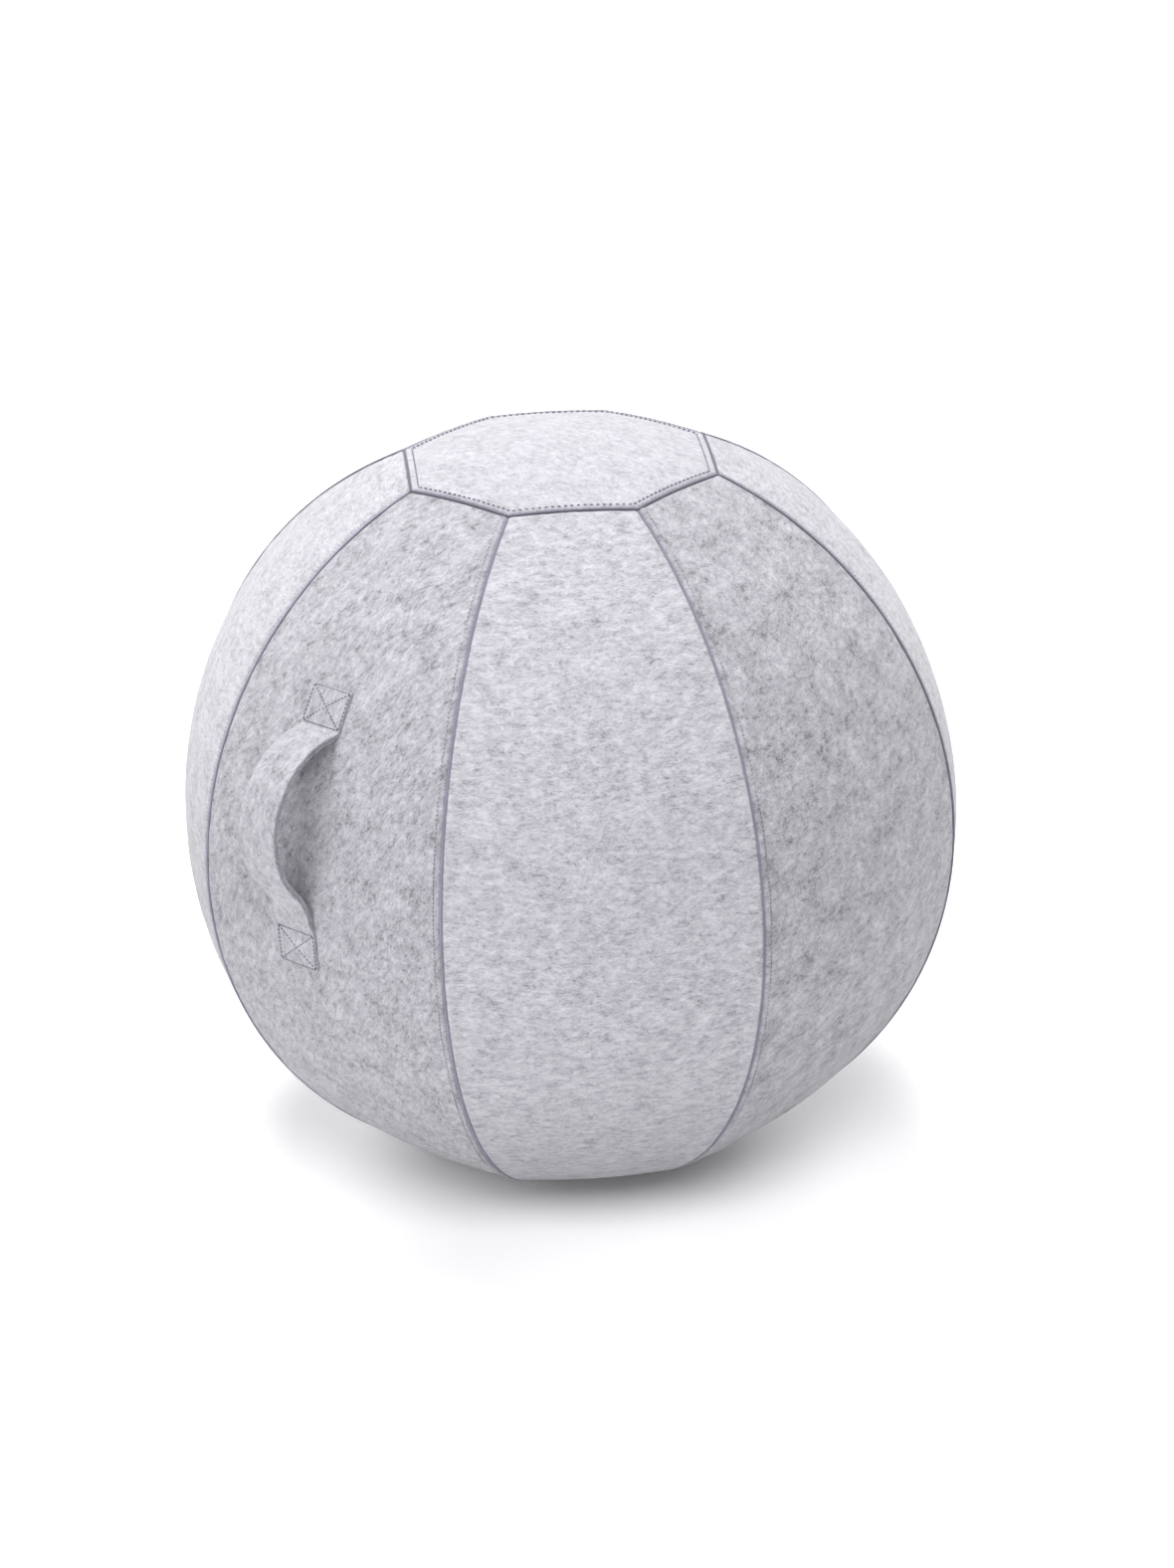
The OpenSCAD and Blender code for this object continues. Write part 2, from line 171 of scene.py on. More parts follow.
# -------------------------------- materials
class Nodes:
    """A short way to write a material's node tree."""

    def __init__(self, name):
        self.material = bpy.data.materials.new(name)
        self.material.use_nodes = True
        self.tree = self.material.node_tree
        self.shader = self.tree.nodes["Principled BSDF"]

    def add(self, kind, settings=None, **inputs):
        node = self.tree.nodes.new(kind)
        for key, value in (settings or {}).items():
            setattr(node, key, value)
        for key, value in inputs.items():
            self.set(node, key.replace("_", " "), value)
        return node

    def set(self, node, socket, value):
        target = node.inputs[socket]
        if isinstance(value, bpy.types.NodeSocket):
            self.tree.links.new(value, target)
        else:
            target.default_value = value

    def math(self, operation, a, b):
        node = self.add("ShaderNodeMath", {"operation": operation})
        self.set(node, 0, a)
        self.set(node, 1, b)
        return node.outputs[0]

    def weigh(self, *terms):
        """The sum of values, each given with its weight."""
        total, *others = [self.math("MULTIPLY", value, weight) for value, weight in terms]
        for part in others:
            total = self.math("ADD", total, part)
        return total

    def ramp(self, value, stops):
        node = self.add("ShaderNodeValToRGB")
        self.set(node, 0, value)
        while len(node.color_ramp.elements) < len(stops):
            node.color_ramp.elements.new(0.5)
        for element, (at, color) in zip(node.color_ramp.elements, stops):
            element.position = at
            element.color = (*color, 1)
        return node.outputs[0]

    def spread(self, value, low, high):
        """From low to high over the range that a noise mostly keeps to. Both are colors, or both greys."""
        return self.ramp(value, [(at, np.broadcast_to(end, 3)) for at, end in ((0.3, low), (0.7, high))])

    def place(self):
        return self.add("ShaderNodeTexCoord").outputs["Object"]

    def cloth_place(self):
        """The place on the cut cloth, in metres."""
        return self.add("ShaderNodeUVMap", {"uv_map": "flat"}).outputs[0]

    def mapped(self, vector, **how):
        return self.add("ShaderNodeMapping", {"vector_type": "POINT"}, Vector=vector, **how).outputs[0]

    def noise(self, vector, scale, detail, rough, distortion=0.0):
        node = self.add("ShaderNodeTexNoise", Vector=vector, Scale=scale, Detail=detail,
                        Roughness=rough, Distortion=distortion)
        return node.outputs["Fac"]

    def bump(self, height, distance, strength, **under):
        node = self.add("ShaderNodeBump", Height=height, Distance=distance, Strength=strength, **under)
        return node.outputs[0]

    def finish(self, color, roughness, **more):
        """The finished material. more holds the shader's other inputs, with _ for each space."""
        for socket, value in {"Base_Color": color, "Roughness": roughness, **more}.items():
            self.set(self.shader, socket.replace("_", " "), value)
        return self.material


def shade(base, amount):
    return tuple(c * amount for c in base)


FELT_COLOR = (0.336, 0.332, 0.360)
THREAD_COLOR = (0.085, 0.080, 0.108)
# Painted shade, multiplied into the felt along seams' grooves and bands and on the strap's sides.
PAINTED_SEAM_SHADE = (0.72, 0.71, 0.75)
FELT_TONES = ((0.39, -0.48), (0.46, -0.14), (0.53, 0.08), (0.61, 0.36))
FLOOR_R = 9.0


def felt_material(name, nap, streak, light_tint, contrast=1.0, cloud=0.16):
    """Mottled grey felt, darker along its seams: painted shade of their grooves and bands, and packed thread.
    nap is the angle of its fibres from the panel's width, streak how long they are for their breadth,
    contrast how far its flecks differ, and cloud the share of broad patches among them. Its tint lightens
    or darkens this copy of the felt as painted light, for how the light falls on the panels that wear it."""
    n = Nodes(name)
    turned = n.mapped(n.cloth_place(), Rotation=(0, 0, -nap))
    long_way = n.mapped(turned, Scale=(1 / streak, 1, 1))
    clouds = n.noise(turned, 42, 3, 0.6)
    tufts = n.noise(long_way, 200, 4, 0.65, 0.5)
    grain = n.noise(long_way, 620, 4, 0.75, 0.8)
    fibres = n.noise(turned, 2600, 3, 0.6)
    mixed = n.weigh((tufts, 0.43 * (1 - cloud)), (grain, 0.57 * (1 - cloud)), (clouds, cloud))
    base = shade(FELT_COLOR, light_tint)
    color = n.ramp(mixed, [(at, shade(base, 1 + contrast * more)) for at, more in FELT_TONES])
    # Painted shade along seams and on the strap's sides, with a broken edge, multiplied into the felt.
    seam = n.add("ShaderNodeAttribute", {"attribute_name": "seam"}).outputs["Fac"]
    broken_seam_shade = n.math("ADD", seam, n.math("MULTIPLY", n.math("SUBTRACT", grain, 0.5), 1.6))
    shaded = n.add("ShaderNodeMix", {"data_type": "RGBA", "blend_type": "MULTIPLY"}, Factor=1.0,
                   A=color, B=n.ramp(broken_seam_shade, [(0.0, (1.0, 1.0, 1.0)), (0.75, PAINTED_SEAM_SHADE)]))
    relief = n.bump(n.math("ADD", fibres, grain), 0.35 * MM, 0.8, Normal=n.bump(tufts, 0.6 * MM, 0.8))
    return n.finish(shaded.outputs["Result"], n.spread(grain, 0.98, 0.86), Normal=relief,
                    Specular_IOR_Level=0.15, Sheen_Weight=0.22, Sheen_Roughness=0.55)


def thread_material(name, amount):
    """Matt twisted thread, amount times as light as the darkest thread."""
    n = Nodes(name)
    color = shade(THREAD_COLOR, amount)
    place = n.place()
    twist = n.noise(place, 1500, 2, 0.5)
    tone = n.weigh((twist, 0.6), (n.noise(place, 60, 2, 0.5), 0.4))
    return n.finish(n.spread(tone, shade(color, 0.75), shade(color, 1.35)), n.spread(twist, 0.62, 0.8),
                    Normal=n.bump(twist, 0.1 * MM, 0.6), Sheen_Weight=0.2)


def tape_material():
    """Twill zip tape: fine ribs, slanting over the cut cloth."""
    n = Nodes("zip_tape_weave")
    ribs = n.add("ShaderNodeTexWave", {"bands_direction": "X"}, Scale=190, Distortion=0.4, Detail=1.0,
                 Vector=n.mapped(n.cloth_place(), Rotation=(0, 0, 0.6))).outputs["Fac"]
    patches = n.noise(n.cloth_place(), 900, 3, 0.6)
    tone = n.weigh((ribs, 0.6), (patches, 0.4))
    return n.finish(n.ramp(tone, [(0.2, (0.20, 0.20, 0.225)), (0.8, (0.36, 0.36, 0.39))]),
                    n.spread(patches, 0.75, 0.9), Normal=n.bump(ribs, 0.15 * MM, 0.8))


def moulded_material(name, grain_scale, colors, roughness, relief, patch_scale=None):
    """Plastic with a fine grain, whose tone follows the grain or, with patch_scale, a broad bloom."""
    n = Nodes(name)
    grain = n.noise(n.place(), grain_scale, 3, 0.5)
    tone = n.noise(n.place(), patch_scale, 5, 0.6) if patch_scale else grain
    return n.finish(n.spread(tone, *colors), n.spread(tone, *roughness),
                    Normal=n.bump(grain, 0.05 * MM, relief))


def metal_material():
    """Nickel with fine upright scratches and dull patches."""
    n = Nodes("zip_nickel")
    lines = n.noise(n.mapped(n.place(), Scale=(1, 1, 8)), 900, 4, 0.6)
    wear = n.noise(n.place(), 180, 4, 0.6)
    return n.finish(n.spread(wear, (0.50, 0.50, 0.51), (0.66, 0.66, 0.67)), n.spread(lines, 0.24, 0.42),
                    Normal=n.bump(lines, 0.03 * MM, 0.5), Metallic=1.0)


def floor_material():
    """White floor that glows far from the ball, where the lights no longer reach."""
    n = Nodes("studio_floor")
    mottling = n.noise(n.place(), 1.5, 2, 0.5)
    away = n.add("ShaderNodeVectorMath", {"operation": "LENGTH"}, Vector=n.place()).outputs["Value"]
    glow = n.ramp(n.math("DIVIDE", away, FLOOR_R), [(0.10, (0.07,) * 3), (0.30, (1.0,) * 3)])
    return n.finish(n.spread(mottling, (0.90, 0.90, 0.905), (0.915, 0.915, 0.92)), 0.9,
                    Specular_IOR_Level=0.1, Emission_Color=(1.0, 1.0, 1.0, 1), Emission_Strength=glow)


LEVEL, UPRIGHT, SLANTED = 0.0, 90 * RAD, 62 * RAD
# Each felt's fourth number, its tint, is painted light: lighter copies for the front gore, the end panels
# and the side gores that light from behind washes out, darker ones for the handle's gore, the right gore, the
# back and the strap.
FELTS = {
    "level": felt_material("felt_level_nap", LEVEL, 1.9, 0.99),
    "upright": felt_material("felt_upright_nap", SLANTED, 1.7, 0.85, 1.3, 0.2),
    "mottled": felt_material("felt_mottled_nap", 20 * RAD, 1.3, 0.84, 1.35, 0.26),
    "end": felt_material("felt_end_nap", LEVEL, 1.5, 0.96, 0.9),
    "strap": felt_material("felt_strap_nap", UPRIGHT, 1.7, 0.88, 1.1),
}
GORE_FELT = ("upright", "level", "mottled", "level", "upright", "mottled", "upright", "level")
THREAD = thread_material("seam_thread", 1.0)
LINE_THREAD = thread_material("line_thread", 1.45)
# A lighter copy of the line thread, painted for seams that the light washes out.
LIT_LINE_THREAD = thread_material("lit_line_thread", 2.1)
TOP_THREAD = thread_material("topstitch_thread", 1.25)
BAND_THREAD = thread_material("band_thread", 1.8)
BOX_THREAD = thread_material("handle_thread", 1.1)
TAPE = tape_material()
METAL = metal_material()
NYLON = moulded_material("zip_nylon", 700, ((0.17, 0.17, 0.19), (0.26, 0.26, 0.29)), (0.38, 0.52), 0.4)
PLASTIC = moulded_material("valve_plastic", 400, ((0.78, 0.78, 0.76), (0.86, 0.86, 0.84)), (0.35, 0.5), 0.3)
VINYL = moulded_material("inner_vinyl", 900, ((0.30, 0.34, 0.40), (0.40, 0.44, 0.50)), (0.42, 0.58), 0.5, 30)


# -------------------------------- mesh helpers
def new_object(name, points, faces, material, flat=None, seam=None):
    """A smooth-shaded mesh object. flat gives each point its place on the cut cloth, in metres, and seam
    says from 0 to 1 how much painted shade darkens it: by seams, with packed thread, and on the strap's
    sides."""
    mesh = bpy.data.meshes.new(name)
    mesh.from_pydata([tuple(p) for p in points], [], faces)
    mesh.materials.append(material)
    mesh.polygons.foreach_set("use_smooth", [True] * len(mesh.polygons))
    if flat is not None:
        layer = mesh.uv_layers.new(name="flat")
        corner = np.zeros(len(mesh.loops), int)
        mesh.loops.foreach_get("vertex_index", corner)
        layer.data.foreach_set("uv", np.asarray(flat, float)[corner].ravel())
    if seam is not None:
        cover = mesh.attributes.new("seam", "FLOAT", "POINT")
        cover.data.foreach_set("value", np.asarray(seam, float).ravel())
    obj = bpy.data.objects.new(name, mesh)
    bpy.context.scene.collection.objects.link(obj)
    return obj


def on_ball(piece, slot, *nodes):
    """The piece rides on the ball and stands for those CAD nodes. slot is not used."""
    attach(piece, "ball")
    if nodes:
        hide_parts(*nodes)


def unit(v):
    return v / np.linalg.norm(v, axis=-1, keepdims=True)


def grid_normals(points):
    """Unit normals of a grid of points, from the cross product of its two directions."""
    return unit(np.cross(np.gradient(points, axis=1), np.gradient(points, axis=0)))


def shell(name, outer, normal, thickness, material, flat, seam=None, wrap=False):
    """A closed skin of felt: the grid outer, a copy of it thickness below, and a rim between the two.
    With wrap the grid's rows are rings, and the first one is closed by a fan."""
    rows, columns = outer.shape[:2]
    skins = [outer.reshape(-1, 3), (outer - normal * thickness).reshape(-1, 3)]
    flats = [flat.reshape(-1, 2)] * 2
    if wrap:
        skins = [np.vstack([s, s[:columns].mean(axis=0)]) for s in skins]
        flats = [np.vstack([f, f[:columns].mean(axis=0)]) for f in flats]
    cover = np.zeros((2, len(skins[0])))
    if seam is not None:
        cover[:, :rows * columns] = seam.ravel()
    index = np.arange(rows * columns).reshape(rows, columns)
    below = len(skins[0])
    top = []
    for r in range(rows - 1):
        for c in range(columns if wrap else columns - 1):
            d = (c + 1) % columns
            top.append((index[r, c], index[r, d], index[r + 1, d], index[r + 1, c]))
    if wrap:
        top += [(below - 1, index[0, (c + 1) % columns], index[0, c]) for c in range(columns)]
        rim = list(index[-1, :])
    else:
        rim = list(index[0, ::-1]) + list(index[1:, 0]) + list(index[-1, 1:]) + list(index[-2:0:-1, -1])
    faces = top + [tuple(k + below for k in face[::-1]) for face in top]
    faces += [(a, b, b + below, a + below)[::-1] for a, b in zip(rim, rim[1:] + rim[:1])]
    return new_object(name, np.vstack(skins), [tuple(int(k) for k in face) for face in faces], material,
                      np.vstack(flats), cover)


def facing(az, x, y, z):
    """World points from a frame at the ball's middle, whose X points outwards at azimuth az."""
    turn = az - math.pi / 2
    c, s = math.cos(turn), math.sin(turn)
    return np.stack([x * c - y * s, x * s + y * c, z + CENTRE_Z], axis=-1)


def heading(az, x, y, z):
    """The same for directions."""
    return facing(az, x, y, z) - np.array([0, 0, CENTRE_Z])


def smooth_step(t):
    t = np.clip(t, 0, 1)
    return t * t * (3 - 2 * t)


def noise_of(points, scale, seed):
    """Smooth noise from -1 to 1 at each point, with its features about 1/scale apart."""
    offset = Vector((seed * 7.31, seed * 3.17, seed * 5.77))
    flat = points.reshape(-1, 3)
    values = [noise.noise(Vector(p) * scale + offset) for p in flat]
    return np.array(values).reshape(points.shape[:-1])


def noise_line(along, pitch, seed):
    """The same along a line: along is in metres, and pitch is the distance between its features."""
    values = [noise.noise(Vector((t / pitch, seed * 5.3, seed * 1.9))) for t in np.ravel(along)]
    return np.array(values).reshape(np.shape(along))


# -------------------------------- the gores' surface
def gore_az(i):
    return (i - 1) * 2 * HALF


def seam_az(seam):
    return gore_az(seam) + HALF


def seam_turn(el):
    """The angle about a gore's own axis at which its surface meets the seam."""
    reach = AXIS_BACK + GORE_R * np.cos(el)
    return HALF - np.arcsin(AXIS_BACK * math.sin(HALF) / reach)


def end_elevation(turn):
    """Where a gore's surface meets the plane of the top panel's edge, at that angle about its own axis."""
    return np.arccos(((PANEL_A + AXIS_BACK) / np.cos(turn) - AXIS_BACK) / GORE_R)


def gore_point(i, el, turn, lift=0.0):
    r = GORE_R + lift
    reach = AXIS_BACK + r * np.cos(el)
    return facing(gore_az(i), reach * np.cos(turn) - AXIS_BACK, reach * np.sin(turn), r * np.sin(el))


def gore_normal(i, el, turn):
    return heading(gore_az(i), np.cos(el) * np.cos(turn), np.cos(el) * np.sin(turn), np.sin(el))


def laps_on(seam):
    """The gore on which a seam's raised band lies, or None at the zip."""
    if seam == ZIP_SEAM:
        return None
    return seam + 1 if seam in (2, 3, 4) else seam


# How far each seam is painted fainter where the light washes it out, from 0 to 1: less painted shade, a
# lighter line thread, and threads set lower.
SEAM_WASHOUT = {1: 0.45, 2: 0.65, 5: 0.3, 6: 0.2, 8: 0.15}
# The same along an end panel's sides, numbered as the gores below them.
PANEL_SEAM_WASHOUT = {4: 0.9, 8: 0.9, 5: 0.3, 7: 0.3}


def seam_contrast(seam):
    """The share of a seam's painted darkness kept where the light washes it out: its shade, its line thread's
    tone and its threads' height.
    """
    return 1 - SEAM_WASHOUT.get(seam, 0.0)


def panel_seam_contrast(number):
    return 1 - PANEL_SEAM_WASHOUT.get(number, 0.0)


def raised(d, height, rise, fall_at, fall):
    """A strip beside a seam that rises over the distance rise and, from fall_at, falls over fall."""
    return height * smooth_step(d / rise) * (1 - smooth_step((d - fall_at) / fall))


def seam_profile(d, lapped):
    """How far the felt stands out at distance d from a seam."""
    groove = -GROOVE_D * np.exp(-((d / GROOVE_W) ** 2))
    if not lapped:
        return groove + raised(d, 0.35 * MM, 1.5 * MM, 2 * MM, 5 * MM)
    dent = -0.45 * MM * np.exp(-(((d - ROW_AT) / (1.1 * MM)) ** 2))
    return groove + raised(d, BAND_H, 1.6 * MM, BAND_W - 0.9 * MM, 2 * MM) + dent


def seam_shading(d, lapped):
    """How far the felt darkens at distance d from a seam, 0 to 1: painted groove and band shade, and packed
    thread.
    """
    width = SHADE_W if lapped else 2.2 * MM
    strip = 1 - smooth_step((d - width + 1.5 * MM) / (2 * MM))
    return 0.45 * np.exp(-((d / (1.6 * MM)) ** 2)) + 0.55 * strip


def puckers(along, d, seed):
    """Small gathers that stitches leave beside a seam."""
    wave = 0.6 * noise_line(along, 9 * MM, seed) + 0.4 * noise_line(along, 23 * MM, seed + 9)
    return 0.75 * MM * wave * np.exp(-d / (13 * MM)) * smooth_step(d / (2 * MM))


# How a gore's grid is spaced: columns near a seam, columns in between, rows near an end, rows in between.
NEAR = np.array([0, 0.35, 0.7, 1.05, 1.5, 2.1, 2.8, 3.6, 4.4, 5.0, 5.5, 5.9, 6.3, 6.8, 7.5, 8.6, 10.2,
                 12.5, 15.5, 19.5, 24.5]) * MM
MIDDLE_COLUMNS = 15
END_ROWS = np.array([0, 0.4, 0.8, 1.2, 1.8, 2.8, 4.2, 6, 8, 11, 15, 20]) * MM
ROW_PITCH = 3.6 * MM


def slot_edge(el):
    """How far the zip's slot cuts a gore back from its seam at elevation el."""
    taper = 5 * MM / ZIP_R
    inside = smooth_step((el - SLOT_LOW + taper) / taper) * smooth_step((SLOT_HIGH + taper - el) / taper)
    return SLOT_HALF * inside


def edge_distances(width, cut):
    """Distances from the seam of half a row's columns, packed close by the seam, from cut to the middle."""
    near = cut + NEAR * np.minimum(1, (width - cut) / (40 * MM))
    steps = np.linspace(0, 1, MIDDLE_COLUMNS + 1)[1:]
    return np.concatenate([near, near[-1] + (width - near[-1]) * steps])


# The elevation at which a seam meets an end panel's corner, near enough 66 degrees to start from.
CORNER_EL = float(end_elevation(seam_turn(66 * RAD)))


def gore_columns(i, el, seam_el):
    """One row of a gore: for each column its angle about the gore's axis and its distance from both seams,
    and how far the slot cuts each side. el is the row's elevation in the middle, and seam_el at the seams."""
    reach = AXIS_BACK + GORE_R * math.cos(el)
    width = float(seam_turn(el)) * reach
    low_cut = slot_edge(seam_el) if i == ZIP_SEAM + 1 else 0.0
    high_cut = slot_edge(seam_el) if i == ZIP_SEAM else 0.0
    low = edge_distances(width, low_cut)
    high = edge_distances(width, high_cut)
    place = np.concatenate([-width + low, (width - high)[-2::-1]])
    return place / reach, place + width, width - place, low_cut, high_cut


def make_gore(i):
    """A gore panel: its surface, the seams' relief, gathers and slight hollows of stretched felt."""
    half_len = float(end_elevation(0.0)) * GORE_R
    steps = max(2, round(2 * (half_len - END_ROWS[-1]) / ROW_PITCH))
    ends = -half_len + END_ROWS
    rows = np.concatenate([ends, np.linspace(ends[-1], -ends[-1], steps + 1)[1:-1], -ends[::-1]]) / half_len
    els, turns, lows, highs, cuts = [], [], [], [], []
    # A row bends with the ends: it lies at the same share of the way to them in every column.
    for share in rows:
        el = share * end_elevation(0.0)
        turn, low, high, low_cut, high_cut = gore_columns(i, float(el), float(share) * CORNER_EL)
        part = turn / seam_turn(float(el))
        for _ in range(3):
            el_row = share * end_elevation(turn)
            turn = part * seam_turn(el_row)
        els.append(el_row)
        turns.append(turn)
        lows.append(low)
        highs.append(high)
        cuts.append((low_cut, high_cut))
    el, turn = np.array(els), np.array(turns)
    low, high, cut = np.array(lows), np.array(highs), np.array(cuts)
    base = gore_point(i, el, turn)
    normal = gore_normal(i, el, turn)
    along = el * GORE_R
    end = np.minimum((end_elevation(turn) - el) * GORE_R, (end_elevation(turn) + el) * GORE_R)
    low_seam, high_seam = (i - 2) % GORES + 1, i
    lift = seam_profile(low - cut[:, :1], laps_on(low_seam) == i)
    lift += seam_profile(high - cut[:, 1:], laps_on(high_seam) == i)
    lift += seam_profile(end, False)
    # Painted shade along the seams and ends, weaker on seams that the light washes out.
    cover = seam_shading(low - cut[:, :1], laps_on(low_seam) == i) * seam_contrast(low_seam)
    cover = np.maximum(cover, seam_shading(high - cut[:, 1:], laps_on(high_seam) == i) * seam_contrast(high_seam))
    cover = np.maximum(cover, seam_shading(end, False))
    lift += puckers(along, low, low_seam) + puckers(along, high, high_seam + 20)
    lift += puckers(low - high, end, i + 40)
    inside = smooth_step(np.minimum(np.minimum(low, high), end) / (40 * MM))
    lift += inside * (0.9 * MM * noise_of(base, 9, i) + 0.35 * MM * noise_of(base, 30, i + 3))
    outer = base + normal * lift[..., None]
    flat = np.stack([(low - high) / 2 + 1.3 * i, along + 0.7 * i], axis=-1)
    panel = shell(f"gore_{i}", outer, grid_normals(outer), FELT, FELTS[GORE_FELT[i - 1]], flat, cover)
    on_ball(panel, "felt", f"gore_panel_{i}")


# -------------------------------- the top and base panels
PANEL_SPOKES = GORES * 26
NEAR_EDGE = np.array([21, 17.5, 14.5, 12, 10, 8.6, 7.6, 7.0, 6.5, 6.1, 5.6, 5.1, 4.4, 3.6,
                      2.8, 2.1, 1.5, 1.05, 0.7, 0.35, 0]) * MM
PANEL_RINGS = np.concatenate([np.linspace(0.03, 0.80, 22), 1 - NEAR_EDGE / PANEL_A])
# The base panel is pressed flat this far over the floor, and bends into the flat over this softness.
OVER_FLOOR = 0.3 * MM
PATCH_SOFTNESS = 2.5 * MM


def edge_height(turn):
    """Height of the gores' upper edge over the ball's middle, at angle turn from the edge's own middle."""
    y = PANEL_A * np.tan(turn)
    reach = np.hypot(PANEL_A + AXIS_BACK, y) - AXIS_BACK
    return np.sqrt(GORE_R**2 - reach**2)


def panel_height(r, turn, share):
    """Height of an end panel's crown over the ball's middle, bent down at its rim to the gores' edge."""
    crown = np.sqrt(CROWN_R**2 - r**2) + TOP_Z - CROWN_R
    at_edge = np.sqrt(CROWN_R**2 - (PANEL_A / np.cos(turn)) ** 2) + TOP_Z - CROWN_R
    return crown + (edge_height(turn) - at_edge) * share**6


def make_panel(name, node, side, felt, seed):
    """An octagonal end panel. side is 1 for the top and -1 for the base, which the floor presses flat."""
    az = np.arange(PANEL_SPOKES) * 2 * math.pi / PANEL_SPOKES
    turn = (az + HALF) % (2 * HALF) - HALF
    share = PANEL_RINGS[:, None]
    r = share * PANEL_A / np.cos(turn)[None, :]
    height = panel_height(r, turn[None, :], share)
    x, y = r * np.sin(az), -r * np.cos(az)
    base = np.stack([x, y, np.broadcast_to(height, r.shape)], axis=-1)
    end = (1 - share) * PANEL_A * np.ones_like(r)
    around = PANEL_A * np.tan(turn)[None, :] * np.ones_like(r) + np.round(az / (2 * HALF)) * 0.11
    lift = seam_profile(end, True) + puckers(around, end, seed)
    inside = smooth_step(end / (40 * MM))
    lift += inside * (0.7 * MM * noise_of(base, 9, seed) + 0.3 * MM * noise_of(base, 30, seed + 3))
    outward = base - np.array([0, 0, TOP_Z - CROWN_R])
    outer = base + unit(outward) * lift[..., None]
    outer[..., 2] *= side
    outer[..., 2] += CENTRE_Z
    if side < 0:
        over = outer[..., 2] - OVER_FLOOR
        bent = (over + np.sqrt(over**2 + PATCH_SOFTNESS**2)) / 2
        sunk = PATCH_SOFTNESS / 2 * np.exp(-np.abs(over) / PATCH_SOFTNESS)
        outer[..., 2] = np.maximum(bent - sunk, 0) + OVER_FLOOR
    normal = grid_normals(np.concatenate([outer, outer[:, :1]], axis=1))[:, :-1]
    if normal[0, 0, 2] * side < 0:
        normal = -normal
    flat = np.stack([x + 3.1 * seed, y], axis=-1)
    numbers = np.round(az / (2 * HALF)).astype(int) % GORES + 1
    # Painted shade along the panel's edge, weaker on the sides that the light washes out.
    cover = seam_shading(end, True) * np.array([panel_seam_contrast(number) for number in numbers])
    if side < 0:
        outer, normal, flat, cover = (part[:, ::-1] for part in (outer, normal, flat, cover))
    panel = shell(name, outer, normal, FELT, FELTS[felt], flat, cover, wrap=True)
    on_ball(panel, "felt", node)


# -------------------------------- stitches
def tube_faces(index):
    """Faces over rings of numbered points, each row of index a ring, closed by one face at each end."""
    ahead = np.roll(index, -1, axis=1)
    quads = np.stack([index[:-1], ahead[:-1], ahead[1:], index[1:]], axis=-1).reshape(-1, 4)
    return quads.tolist() + [index[0, ::-1].tolist(), index[-1].tolist()]


def stitches(name, centres, tangents, normals, length, radius, material, arch=1.0):
    """A row of short threads as one mesh, each sunk into the felt at both ends."""
    rings = np.array([-0.5, -0.40, -0.18, 0.18, 0.40, 0.5])
    girth = np.array([0.35, 0.85, 1.0, 1.0, 0.85, 0.35])
    height = np.array([-1.5, -0.35, 0.35, 0.35, -0.35, -1.5]) * arch
    sides = 6
    angle = np.arange(sides) * 2 * math.pi / sides
    along = np.repeat(rings, sides) * length
    out = (np.repeat(height, sides) + np.outer(girth, np.cos(angle)).ravel()) * radius
    side = np.outer(girth, np.sin(angle)).ravel() * radius
    across = np.cross(normals, tangents)
    points = centres[:, None] + sum(direction[:, None] * offset[:, None] for direction, offset in
                                    ((tangents, along), (normals, out), (across, side)))
    faces = []
    for first in range(0, len(centres) * len(along), len(along)):
        faces += tube_faces(first + np.arange(len(along)).reshape(-1, sides))
    return new_object(name, points.reshape(-1, 3), faces, material)


STITCH_PITCH = 3.4 * MM
LINE_PITCH = 1.9 * MM
LINE_SLANT = 38 * RAD


def along_seam(seam, gore, d, lift, pitch, low, high, wander=0.0):
    """Places along a seam between two elevations, on a gore at distance d from the seam, give or take wander:
    points, directions, normals."""
    count = max(2, round((high - low) * GORE_R / pitch))
    el = np.linspace(low, high, count, endpoint=False) + (high - low) / count / 2
    side = 1 if gore == seam else -1

    def turn_at(at):
        stray = wander * noise_line(at * GORE_R, 26 * MM, seam)
        return side * (seam_turn(at) - (d + stray) / (AXIS_BACK + GORE_R * np.cos(at)))

    turn = turn_at(el)
    step = 1e-3
    point = gore_point(gore, el, turn, lift)
    ahead = gore_point(gore, el + step, turn_at(el + step), lift)
    return point, unit(ahead - point), gore_normal(gore, el, turn)


ZIGZAG_FROM = 0.9 * MM
ZIGZAG_TO = 5.4 * MM
ZIGZAG_PITCH = 3.4 * MM


def add_band_threads(name, inner, outer, piece_normal, radius):
    """Slanted threads across a seam's band, from each of the points inner to the next of the points outer."""
    gap = outer[1:] - inner[:-1]
    length = np.linalg.norm(gap, axis=1)
    keep = length < 3 * (ZIGZAG_TO - ZIGZAG_FROM)
    middle = (inner[:-1] + gap / 2)[keep]
    threads = stitches(name, middle, unit(gap[keep]), piece_normal[:-1][keep], float(np.median(length)),
                       radius, BAND_THREAD, 0.7)
    on_ball(threads, "thread")


def slanted(tangent, normal, angle):
    """The directions tangent, turned by an angle about the normals."""
    return tangent * math.cos(angle) + np.cross(normal, tangent) * math.sin(angle)


def seam_spans(seam):
    """The stretches of a seam that are sewn, as elevations: all of it, or what the zip leaves."""
    end = CORNER_EL - 1.2 * MM / GORE_R
    if seam != ZIP_SEAM:
        return [(-end, end)]
    return [(-end, SLOT_LOW - 0.01), (SLOT_HIGH + 0.01, end)]


